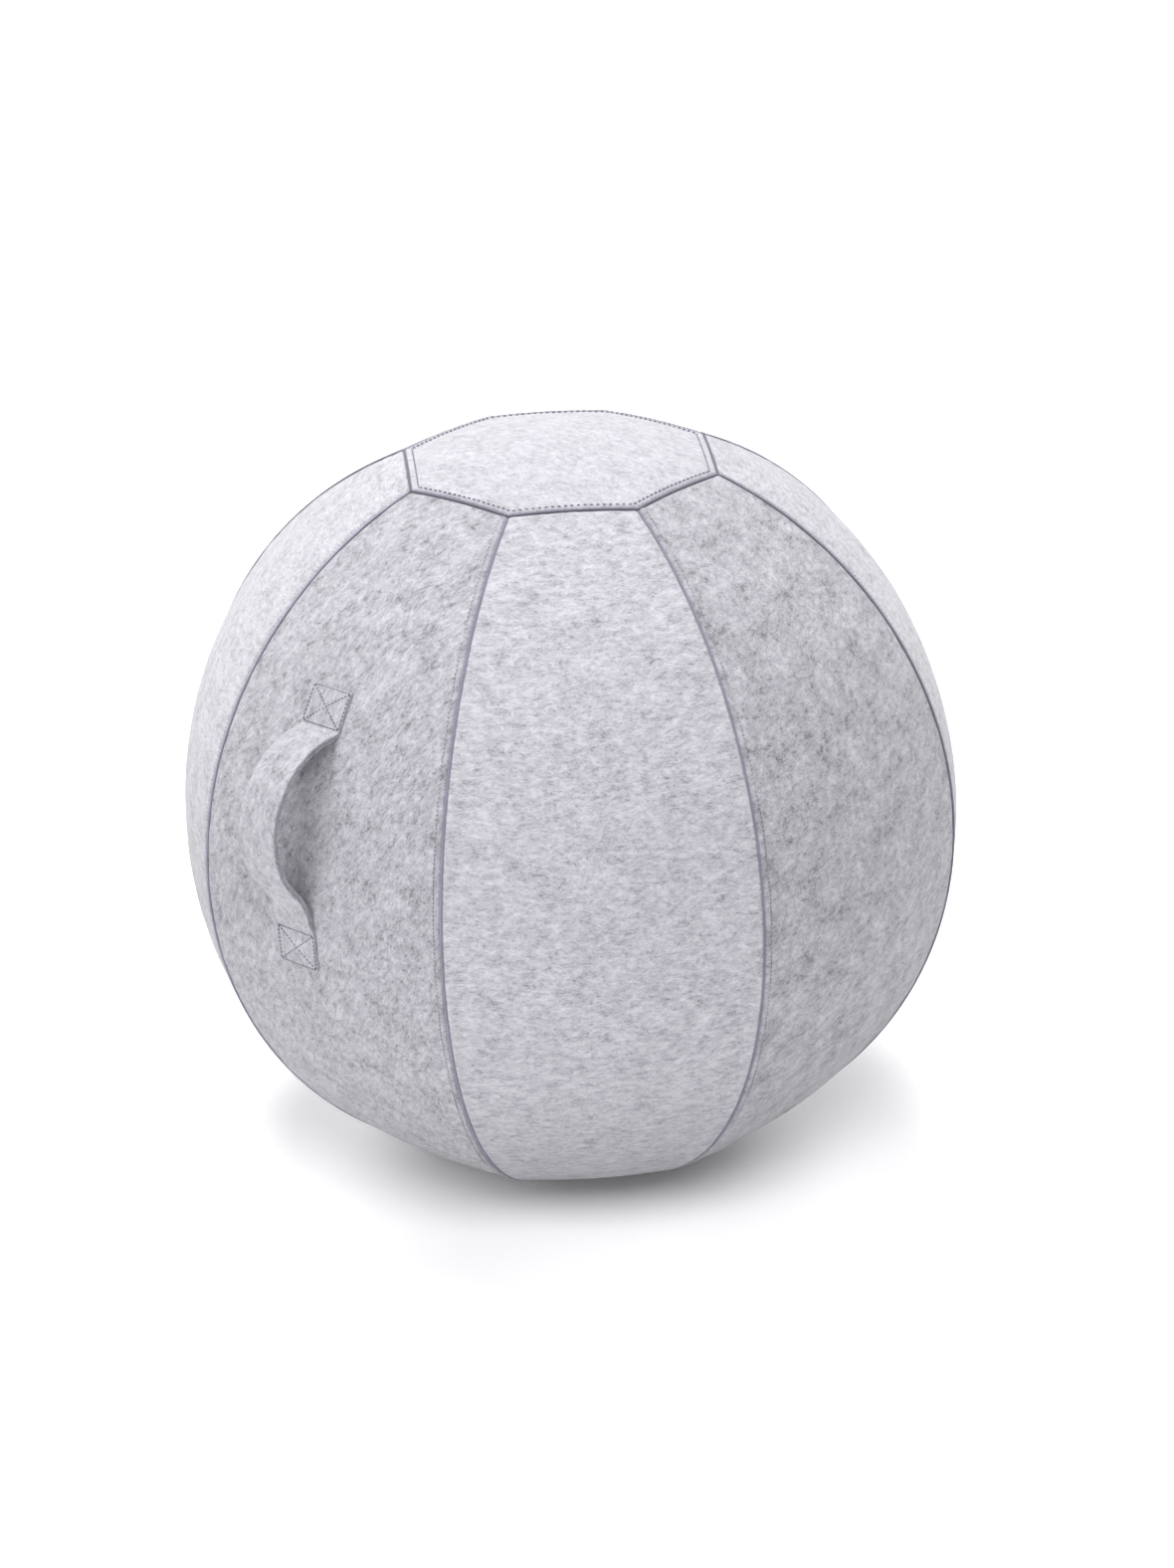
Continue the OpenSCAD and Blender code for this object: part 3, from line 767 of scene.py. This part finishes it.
def make_seam(seam):
    """A gore seam: the dark line of slanted threads in the groove, and the dotted row on the raised band."""
    spans = seam_spans(seam)
    contrast_kept = seam_contrast(seam)
    parts = [along_seam(seam, seam, 0.0, (1.4 * contrast_kept - 1.0) * MM, LINE_PITCH, *span) for span in spans]
    point, tangent, normal = (np.concatenate(p) for p in zip(*parts))
    beside = gore_normal(seam % GORES + 1, np.zeros(1), np.zeros(1))
    normal = unit(normal + 0.12 * beside)
    # Seams that the light washes out get the lighter copy of the line thread, as painted light.
    thread = LINE_THREAD if contrast_kept > 0.9 else LIT_LINE_THREAD
    line = stitches(f"seam_{seam}_line", point, slanted(tangent, normal, LINE_SLANT), normal, 3.5 * MM,
                    (0.42 + 0.36 * contrast_kept) * MM, thread, 0.5)
    on_ball(line, "thread", f"gore_seam_{seam}")
    gore = laps_on(seam)
    if gore is None:
        return
    span = spans[0]
    dots = along_seam(seam, gore, ROW_AT, 0.45 * (contrast_kept - 1) * MM, STITCH_PITCH, *span, wander=0.9 * MM)
    on_ball(stitches(f"seam_{seam}_topstitch", *dots, 2.5 * MM, 0.5 * MM, TOP_THREAD), "thread")
    sunk = 0.5 * MM * (1 - contrast_kept)
    inner, _, normal = along_seam(seam, gore, ZIGZAG_FROM, 0.62 * MM - sunk, ZIGZAG_PITCH, *span)
    outer, _, _ = along_seam(seam, gore, ZIGZAG_TO, 0.42 * MM - sunk, ZIGZAG_PITCH, *span)
    add_band_threads(f"seam_{seam}_band", inner, outer, normal, 0.24 * MM)


# How deep an end panel's threads sink on the sides whose seam is painted fainter where the light washes it
# out.
WASHOUT_SINK = 0.9 * MM
PANEL_PITCH = 5.0 * MM


def panel_edge(side, inset, lift, pitch, count=None):
    """Places round an end panel's edge, inset from it, so many on each side, and lift above the felt's own
    surface: points, directions and normals."""
    points, tangents, normals = [], [], []
    a = PANEL_A - inset
    length = 2 * a * math.tan(HALF)
    count = count or round(length / pitch)
    y = (np.arange(count) + 0.5) / count * length - length / 2
    x = np.full_like(y, a)
    r = np.hypot(x, y)
    height = panel_height(r, np.arctan(y / a), a / PANEL_A) + lift
    slope = np.sqrt(CROWN_R**2 - r**2)
    for number in range(1, GORES + 1):
        az = gore_az(number)
        sunk = WASHOUT_SINK * (1 - panel_seam_contrast(number))
        out = unit(heading(az, x, y, side * slope))
        along = heading(az, 0 * x, 0 * y + 1, 0 * x)
        points.append(facing(az, x, y, side * (height - sunk)))
        normals.append(out)
        tangents.append(unit(along - out * (along * out).sum(axis=1, keepdims=True)))
    return np.concatenate(points), np.concatenate(tangents), np.concatenate(normals)


def make_panel_seam(name, node, side):
    """The seam round an end panel: its dark line, and on the panel the slanted threads and the dotted row."""
    point, tangent, normal = panel_edge(side, 0.0, 0.3 * MM, LINE_PITCH)
    line = stitches(f"{name}_seam_line", point, slanted(tangent, normal, LINE_SLANT), normal, 3.4 * MM,
                    0.85 * MM, THREAD, 0.5)
    on_ball(line, "thread", node)
    dots = panel_edge(side, ROW_AT, 0.15 * MM, PANEL_PITCH)
    on_ball(stitches(f"{name}_seam_topstitch", *dots, 2.9 * MM, 0.95 * MM, THREAD), "thread")
    inner, _, normal = panel_edge(side, ZIGZAG_FROM, 0.7 * MM, PANEL_PITCH)
    outer, _, _ = panel_edge(side, ZIGZAG_TO, 0.5 * MM, PANEL_PITCH, len(inner) // GORES)
    add_band_threads(f"{name}_seam_band", inner, outer, normal, 0.3 * MM)


for number in range(1, GORES + 1):
    make_gore(number)
    make_seam(number)
make_panel("top_cover", "top_panel", 1, "end", 11)
make_panel("base_cover", "base_panel", -1, "end", 12)
make_panel_seam("top", "top_seam", 1)
make_panel_seam("base", "base_seam", -1)


# -------------------------------- the handle
def handle_point(x, y, across):
    """World points from the handle's own plane: x outwards from the gore's circle, y up, and across it."""
    reach = AXIS_BACK + x
    c, s = math.cos(HANDLE_TURN), math.sin(HANDLE_TURN)
    return facing(0.0, reach * c - across * s - AXIS_BACK, reach * s + across * c, y)


def polar(r, angle):
    return np.stack([r * np.cos(angle), r * np.sin(angle)], axis=-1)


def circles_meet(p, a, q, b):
    """Where circles round p and q with radii a and b meet, on the left of the way from p to q."""
    gap = q - p
    d = np.hypot(*gap)
    u = gap / d
    s = (d * d + a * a - b * b) / (2 * d)
    return p + s * u + math.sqrt(a * a - s * s) * np.array([-u[1], u[0]])


# The strap's middle line: an arc of the ball, a root that curves off it, the arch, and the same back.
MID_R = GORE_R + STRAP_T / 2
ROOT_UP_C = polar(MID_R + ROOT_UP_R, ROOT_UP_EL)
ROOT_LOW_C = polar(MID_R + ROOT_LOW_R, ROOT_LOW_EL)
ARCH_C = circles_meet(ROOT_LOW_C, ROOT_LOW_R + ARCH_R, ROOT_UP_C, ROOT_UP_R + ARCH_R)
UP_ANGLE = math.atan2(*(ROOT_UP_C - ARCH_C)[::-1])
LOW_ANGLE = math.atan2(*(ROOT_LOW_C - ARCH_C)[::-1])
PAD_TURN = PAD_LEN / GORE_R
STRAP_STEP = 2.2 * MM


def strap_path():
    """The strap's underside from its upper end to its lower one: places, outward normals, distance run."""
    half_t = STRAP_T / 2
    runs = [
        (np.zeros(2), GORE_R, ROOT_UP_EL + PAD_TURN, ROOT_UP_EL, 1),
        (ROOT_UP_C, ROOT_UP_R + half_t, ROOT_UP_EL + math.pi, UP_ANGLE + math.pi, -1),
        (ARCH_C, ARCH_R - half_t, UP_ANGLE, LOW_ANGLE, 1),
        (ROOT_LOW_C, ROOT_LOW_R + half_t, LOW_ANGLE + math.pi, ROOT_LOW_EL + math.pi, -1),
        (np.zeros(2), GORE_R, ROOT_LOW_EL, ROOT_LOW_EL - PAD_TURN, 1),
    ]
    places, outwards = [], []
    for c, r, a0, a1, sign in runs:
        count = max(4, round(r * abs(a1 - a0) / STRAP_STEP))
        angle = np.linspace(a0, a1, count + 1)[1 if places else 0:]
        places.append(c + polar(r, angle))
        outwards.append(sign * polar(1.0, angle))
    place, outward = np.concatenate(places), np.concatenate(outwards)
    run = np.concatenate([[0], np.cumsum(np.linalg.norm(np.diff(place, axis=0), axis=1))])
    return place, outward, run


def strap_section(t, w):
    """The strap's outline: two felt layers with soft edges and a groove between them on each side.
    Points are (across, out)."""
    half = w / 2
    soft = 0.8 * MM
    layer = t / 2
    lower = [(half - soft, 0.0), (half - 0.25 * soft, 0.12 * layer), (half, 0.4 * layer),
             (half, 0.72 * layer), (half - 0.3 * MM, 0.92 * layer)]
    upper = [(half - 0.3 * MM, 1.08 * layer), (half, 1.28 * layer), (half, 1.6 * layer),
             (half - 0.25 * soft, 1.88 * layer), (half - soft, t)]
    right = lower + [(half - 1.3 * MM, layer)] + upper
    inner = half - soft
    top = [(inner * k, t + 0.25 * MM * (1 - k * k)) for k in (0.92, 0.78, 0.6, 0.4, 0.2, 0)]
    top += [(-x, y) for x, y in top[-2::-1]]
    left = [(-x, y) for x, y in right[::-1]]
    bottom = [(-inner * k, 0.0) for k in (0.92, 0.6, 0.3, 0, -0.3, -0.6, -0.92)]
    return np.array(right + top + left + bottom)


def make_strap():
    """The handle: one strip that is thin and wide where it is sewn down, and thick and free in the middle."""
    place, outward, run = strap_path()
    total = run[-1]
    from_pad = np.minimum(run, total - run) - PAD_LEN
    thick = PAD_T + (STRAP_T - PAD_T) * smooth_step(from_pad / (7 * MM))
    wide = PAD_W + (STRAP_W - PAD_W) * smooth_step(from_pad / (12 * MM))
    sink = 0.5 * MM * (1 - smooth_step(from_pad / (4 * MM)))
    rings, flats, strap_side_shade = [], [], []
    for k, t in enumerate(thick):
        section = strap_section(t, wide[k])
        waver = 0.5 * MM * noise.noise(Vector((run[k] * 30, 2.2, 0)))
        across = section[:, 0] + waver
        gather = 0.25 * MM * noise_line(run[k] + section[:, 0] * 0.4, 12 * MM, 6)
        out = section[:, 1] - sink[k] + gather * (section[:, 1] > t * 0.9)
        sag = (AXIS_BACK + GORE_R) - np.sqrt((AXIS_BACK + GORE_R) ** 2 - across**2)
        follow = sag * (1 - smooth_step(from_pad[k] / (15 * MM)))
        x = place[k, 0] + outward[k, 0] * (out - follow)
        y = place[k, 1] + outward[k, 1] * (out - follow)
        rings.append(handle_point(x, y, across))
        edge = np.concatenate([[0], np.cumsum(np.linalg.norm(np.diff(section, axis=0), axis=1))])
        flats.append(np.stack([edge, np.full(len(edge), run[k])], axis=-1))
        # Painted shade on the strap's side faces and in the groove between its two layers.
        at_side = smooth_step((np.abs(section[:, 0]) - wide[k] / 2 + 2 * MM) / (2 * MM))
        strap_side_shade.append(at_side * (section[:, 1] < 0.97 * t))
    ring = np.array(rings)
    rows, sides = ring.shape[:2]
    index = np.arange(rows * sides).reshape(rows, sides)
    strap = new_object("handle_strap", ring.reshape(-1, 3), tube_faces(index), FELTS["strap"],
                       np.array(flats).reshape(-1, 2), np.array(strap_side_shade))
    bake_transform(strap)
    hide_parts("handle_pad_upper", "handle_pad_lower", "handle_root_upper", "handle_root_lower",
                "handle_neck", "handle_arch")


def pad_rows(el_mid):
    """The threads of the boxed cross on a sewn end: points, directions, normals."""
    inset = 1.2 * MM
    w, h = PAD_W / 2 - inset, PAD_LEN / 2 - inset
    corners = [(-w, -h), (w, -h), (w, h), (-w, h)]
    lines = [(corners[k], corners[(k + 1) % 4]) for k in range(4)]
    lines += [(corners[0], corners[2]), (corners[1], corners[3])]
    points, tangents, normals = [], [], []
    for a, b in lines:
        a, b = np.array(a), np.array(b)
        length = np.hypot(*(b - a))
        count = round(length / (3.2 * MM))
        for k in range(count):
            for share, store in (((k + 0.5) / count, points), ((k + 0.6) / count, tangents)):
                across, along = a + (b - a) * share
                el = el_mid + along / GORE_R
                sag = across**2 / (2 * (AXIS_BACK + GORE_R))
                r = GORE_R + PAD_T - 0.5 * MM - sag
                store.append(handle_point(r * math.cos(el), r * math.sin(el), across))
            normals.append(handle_point(math.cos(el), math.sin(el), 0.0) - handle_point(0.0, 0.0, 0.0))
    point, ahead = np.array(points), np.array(tangents)
    return point, unit(ahead - point), unit(np.array(normals))


def make_box_stitches(end, el_mid):
    box = stitches(f"handle_stitching_{end}", *pad_rows(el_mid), 2.8 * MM, 0.6 * MM, BOX_THREAD)
    on_ball(box, "thread", f"handle_stitch_{end}")


make_strap()
make_box_stitches("upper", ROOT_UP_EL + PAD_TURN / 2)
make_box_stitches("lower", ROOT_LOW_EL - PAD_TURN / 2)


# -------------------------------- the zip
def zip_point(el, r, across):
    """World points on the zip: elevation and radius about the seam's own centre, and distance across."""
    el, r, across = np.broadcast_arrays(el, r, across)
    return facing(seam_az(ZIP_SEAM), SEAM_ARC_X + r * np.cos(el), across, r * np.sin(el))


ZIP_ACROSS = unit(zip_point(0.0, ZIP_R, 1.0) - zip_point(0.0, ZIP_R, 0.0))


def part_with_slider(piece, side, towards):
    """The piece gets its own copy of its mesh; a place is worked out from side and towards, but not used."""
    anchor = zip_point(0.0, ZIP_R, side * towards)
    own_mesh(piece)


def make_tape(name, side):
    """One side's tape, from under the coil to the felt that it is sewn to. side is -1 or 1."""
    el = np.linspace(ZIP_END - TAPE_MARGIN / ZIP_R, ZIP_TOP + TAPE_MARGIN / ZIP_R, 150)
    across = np.linspace(TAPE_IN - 0.6 * MM, TAPE_OUT, 9)
    elevation, out = np.meshgrid(el, across, indexing="ij")
    if side < 0:
        elevation, out = elevation[:, ::-1], out[:, ::-1]
    ripple = 0.12 * MM * noise_line(elevation * ZIP_R + out, 14 * MM, side + 4)
    outer = zip_point(elevation, ZIP_R + TAPE_T / 2 + ripple, side * out)
    flat = np.stack([out, elevation * ZIP_R], axis=-1)
    tape = shell(name, outer, grid_normals(outer), TAPE_T, TAPE, flat)
    on_ball(tape, "zip_tape", name.replace("cloth", "tape"))
    part_with_slider(tape, side, TAPE_OUT)


def coil_turns(name, el, side, *nodes):
    """A bead for each turn of one row of coil, whose nose reaches between two turns of the other row."""
    points = zip_point(el, ZIP_R, side * 1.35 * MM)
    normals = unit(zip_point(el, ZIP_R + 1 * MM, side * 1.35 * MM) - points)
    tangents = np.tile(ZIP_ACROSS, (len(el), 1)) * side
    turns = stitches(name, points + normals * 0.1 * MM, tangents, normals, 3.5 * MM, 0.95 * MM, NYLON, 0.25)
    on_ball(turns, "zip_teeth", *nodes)
    return turns


def make_teeth(name, side):
    """One row of coil, in three pieces: the turns over the slider's lowest place, a few beside its post, and
    the last ones below those."""
    top = ZIP_TOP - TEETH_TOP / ZIP_R
    bottom = ZIP_END + 3 * MM / ZIP_R
    count = int((top - bottom) * ZIP_R / TOOTH_PITCH)
    el = top - (np.arange(count) + (0.25 if side > 0 else 0.75)) * TOOTH_PITCH / ZIP_R
    parted = el > SLIDER_LOW + 1 * MM / ZIP_R
    closed = el < SLIDER_LOW - THROAT / ZIP_R
    row = coil_turns(name, el[parted], side, name.replace("coil", "teeth"))
    part_with_slider(row, side, TAPE_OUT)
    throat = coil_turns(f"{name}_throat", el[~parted & ~closed], side)
    part_with_slider(throat, side, THROAT_OUT)
    coil_turns(f"{name}_end", el[closed], side)


def make_zip_sewing():
    """The rows of stitches that hold the tapes to the folded edges of the felt."""
    for name, gore in (("lower_gore", ZIP_SEAM), ("upper_gore", ZIP_SEAM + 1)):
        row = along_seam(ZIP_SEAM, gore, SLOT_HALF + 3.6 * MM, -0.1 * MM, STITCH_PITCH, SLOT_LOW, SLOT_HIGH)
        on_ball(stitches(f"zip_sewing_{name}", *row, 2.6 * MM, 0.42 * MM, TOP_THREAD), "thread")


make_tape("zip_cloth_left", -1)
make_tape("zip_cloth_right", 1)
make_teeth("zip_coil_left", -1)
make_teeth("zip_coil_right", 1)
make_zip_sewing()


# -------------------------------- the inner ball
AIR_LOW, AIR_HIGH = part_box("inner_ball")
AIR_R = AIR_HIGH.z - CENTRE_Z
AIR_POLE = AIR_HIGH.x - AIR_R
AIR_FOOT = CENTRE_Z - AIR_LOW.z
AIR_WALL = 1.2 * MM
AIR_RIB = 0.3 * MM
AIR_RIB_PITCH = 12 * MM
AIR_COLUMNS = 120
VALVE_EL = -20 * RAD
VALVE_HOLE = 6.5 * MM
DRILL_LENGTH = 20 * MM


def air_skin(rows, columns, inset, ribbed):
    """Level rings of the inner ball's skin from pole to pole, with a flat foot, inset from the outside."""
    r = AIR_R - inset
    foot = AIR_FOOT - inset
    el = math.pi / 2 - (np.arange(rows) + 0.5) / rows * math.pi
    reach = AIR_POLE + r * np.cos(el)
    height = np.maximum(r * np.sin(el), -foot)
    if ribbed:
        share = smooth_step((62 * RAD - np.abs(el)) / (6 * RAD))
        rib = AIR_RIB * share * np.cos(2 * math.pi * el * AIR_R / AIR_RIB_PITCH)
        reach, height = reach + rib * np.cos(el), height + rib * np.sin(el)
    az = np.arange(columns) * 2 * math.pi / columns
    level = np.broadcast_to(height[:, None] + CENTRE_Z, (rows, columns))
    return np.stack([reach[:, None] * np.sin(az), -reach[:, None] * np.cos(az), level], axis=-1)


def valve_drill():
    """A cylinder through the inner ball's wall where the valve sits, behind the zip."""
    shape = bmesh.new()
    bmesh.ops.create_cone(shape, cap_ends=True, segments=48, radius1=VALVE_HOLE, radius2=VALVE_HOLE,
                          depth=DRILL_LENGTH)
    mesh = bpy.data.meshes.new("valve_drill")
    shape.to_mesh(mesh)
    shape.free()
    drill = bpy.data.objects.new("valve_drill", mesh)
    bpy.context.scene.collection.objects.link(drill)
    out, up = AIR_R * math.cos(VALVE_EL) + AIR_POLE, AIR_R * math.sin(VALVE_EL)
    place = Vector(facing(seam_az(ZIP_SEAM), out, 0.0, up))
    aim(drill, place, Vector(facing(seam_az(ZIP_SEAM), AIR_POLE, 0.0, 0.0)))
    return drill


def make_air_ball():
    """The inflated vinyl ball: a ribbed wall with a round hole for the valve seat."""
    outside = air_skin(400, AIR_COLUMNS, 0.0, True)
    inside = air_skin(100, AIR_COLUMNS, AIR_WALL + AIR_RIB, False)
    points = np.concatenate([outside.reshape(-1, 3), inside.reshape(-1, 3)])
    index = np.arange(len(points)).reshape(-1, AIR_COLUMNS)
    faces = [face[::-1] for face in tube_faces(index[:len(outside)])] + tube_faces(index[len(outside):])
    ball = new_object("air_ball", points, faces, VINYL)
    cutter = valve_drill()
    cut = ball.modifiers.new("valve_hole", "BOOLEAN")
    cut.object = cutter
    cut.solver = "EXACT"
    bpy.context.view_layer.update()
    drilled = bpy.data.meshes.new_from_object(ball.evaluated_get(bpy.context.evaluated_depsgraph_get()))
    ball.modifiers.clear()
    ball.data = drilled
    bpy.data.objects.remove(cutter)
    on_ball(ball, "inner_vinyl", "inner_ball")


make_air_ball()


# -------------------------------- carried-over CAD nodes
METAL_NODES = ("zip_top_stop_left", "zip_top_stop_right", "zip_bottom_stop", "zip_slider", "zip_pull")
for nodes, material in ((METAL_NODES, METAL), (("valve_seat", "valve_plug"), PLASTIC)):
    for node in nodes:
        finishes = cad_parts[node].data.materials
        finishes.clear()
        finishes.append(material)


# -------------------------------- studio
SKY_LEVEL = 0.10
BACKDROP_LEVEL = 1.0


def add_floor():
    sides = 96
    turns = [2 * math.pi * k / sides for k in range(sides)]
    points = [(FLOOR_R * math.cos(turn), FLOOR_R * math.sin(turn), 0) for turn in turns]
    floor = new_object("floor", points, [tuple(range(sides))], floor_material())


def add_light(name, place, target, size, power):
    """A round white light, size metres across and power watts strong."""
    data = bpy.data.lights.new(name, "AREA")
    data.shape = "DISK"
    data.size = size
    data.energy = power
    light = bpy.data.objects.new(name, data)
    bpy.context.scene.collection.objects.link(light)
    aim(light, place, target)


def add_world():
    """A dim, even sky for the light that it gives, and a white backdrop to look at."""
    world = bpy.data.worlds.new("studio")
    world.use_nodes = True
    tree = world.node_tree
    background = tree.nodes["Background"]
    seen = tree.nodes.new("ShaderNodeLightPath").outputs["Is Camera Ray"]
    level = tree.nodes.new("ShaderNodeMapRange")
    level.inputs["To Min"].default_value = SKY_LEVEL
    level.inputs["To Max"].default_value = BACKDROP_LEVEL
    tree.links.new(seen, level.inputs["Value"])
    tree.links.new(level.outputs["Result"], background.inputs["Strength"])
    background.inputs["Color"].default_value = (1.0, 1.0, 1.0, 1)
    bpy.context.scene.world = world
    bpy.context.scene.view_settings.view_transform = "Standard"


add_floor()
add_world()
add_light("overhead", rig(-0.2, -0.4, 3.2), centre, 2.0, 103)
add_light("front", rig(0.2, 2.4, 2.6), rig(0.0, 0.9, 0.0), 1.6, 74)
add_light("left", rig(-1.8, 1.7, 1.6), centre, 2.0, 40)
add_light("right", rig(2.6, -0.6, 1.6), centre, 1.6, 26)
add_light("back_left", rig(-1.6, -2.4, 1.8), centre, 1.6, 51)
add_light("back_right", rig(1.6, -2.4, 2.0), centre, 1.6, 36)
